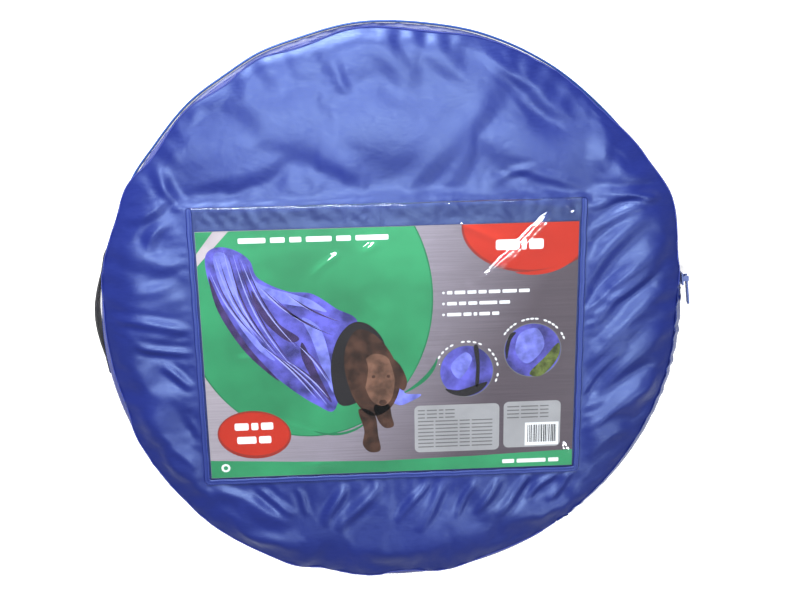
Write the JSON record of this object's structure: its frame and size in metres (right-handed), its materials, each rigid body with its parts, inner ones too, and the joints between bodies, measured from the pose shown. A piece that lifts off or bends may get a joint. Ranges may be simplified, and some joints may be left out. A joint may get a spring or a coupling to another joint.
{
  "type": "agility tunnel",
  "caption": "Dog agility tunnel packed flat in its round carry bag, with a zipped lid, a clear label pocket, a webbing handle, end hoops and ground pegs.",
  "frame": {"origin": "middle of the bag's back face, which it lies on", "axes": "+Z out of the front panel with the label, +Y to the top of the label, +X to the label's right"},
  "size_m": [0.6745, 0.6606, 0.0613],
  "materials": {
    "bag_cloth": "satin woven nylon",
    "bag_cloth_shade": "satin woven nylon",
    "tunnel_cloth": "satin woven nylon",
    "zip_tape": "woven tape",
    "zip_coil": "coiled nylon",
    "zip_metal": "pressed metal",
    "zip_slider": "blue-grey enamel",
    "webbing": "woven polypropylene",
    "clear_vinyl": "clear and rumpled",
    "printed_card": "printed",
    "steel_wire": "zinc plated"
  },
  "bodies": {
    "bag": {"back_panel": "bag_cloth_shade", "back_piping": "bag_cloth", "side_wall": "bag_cloth_shade", "front_hinge_strip": "bag_cloth", "zip_tape_base": "zip_tape", "zip_coil_base": "zip_coil", "zip_stop_closed": "zip_metal", "zip_stop_open": "zip_metal", "handle_anchor_1": "webbing", "handle_anchor_2": "webbing", "entrance_hoop": "steel_wire", "exit_hoop": "steel_wire", "entrance_hoop_sleeve": "tunnel_cloth", "exit_hoop_sleeve": "tunnel_cloth", "tunnel_cloth": "tunnel_cloth", "peg_pouch": "bag_cloth_shade", "ground_peg_1": "steel_wire", "ground_peg_2": "steel_wire", "ground_peg_3": "steel_wire", "ground_peg_4": "steel_wire", "peg_strap_1": "webbing", "peg_strap_2": "webbing", "peg_strap_3": "webbing", "peg_strap_4": "webbing"},
    "lid": {"front_panel": "bag_cloth", "zip_tape_lid": "zip_tape", "zip_coil_lid": "zip_coil", "pocket_window": "clear_vinyl", "pocket_binding": "bag_cloth"},
    "card": {"label_card": "printed_card"},
    "slider": {"zip_slider": "zip_slider"},
    "pull": {"zip_pull": "zip_slider"},
    "handle": {"carry_handle": "webbing"}
  },
  "joints": [
    {"name": "lid_open", "type": "hinge", "parent": "bag", "child": "lid", "pos_m": [0.25871, -0.11518, 0.058], "axis": [0.4067, 0.9135, 0], "range_deg": [0, 140]},
    {"name": "card_slide", "type": "slide", "parent": "lid", "child": "card", "axis": [0, 1, 0], "range_m": [0, 0.33]},
    {"name": "zip_travel", "type": "hinge", "parent": "bag", "child": "slider", "pos_m": [0, 0, 0.04], "axis": [0, 0, 1], "range_deg": [0, 298]},
    {"name": "pull_flip", "type": "hinge", "parent": "slider", "child": "pull", "pos_m": [0.33186, 0.04075, 0.04], "axis": [0, 0, 1], "range_deg": [0, 175]},
    {"name": "handle_swing", "type": "hinge", "parent": "bag", "child": "handle", "pos_m": [-0.32755, 0.0143, 0.016], "axis": [0.0436, 0.999, 0], "range_deg": [-12, 12]}
  ]
}
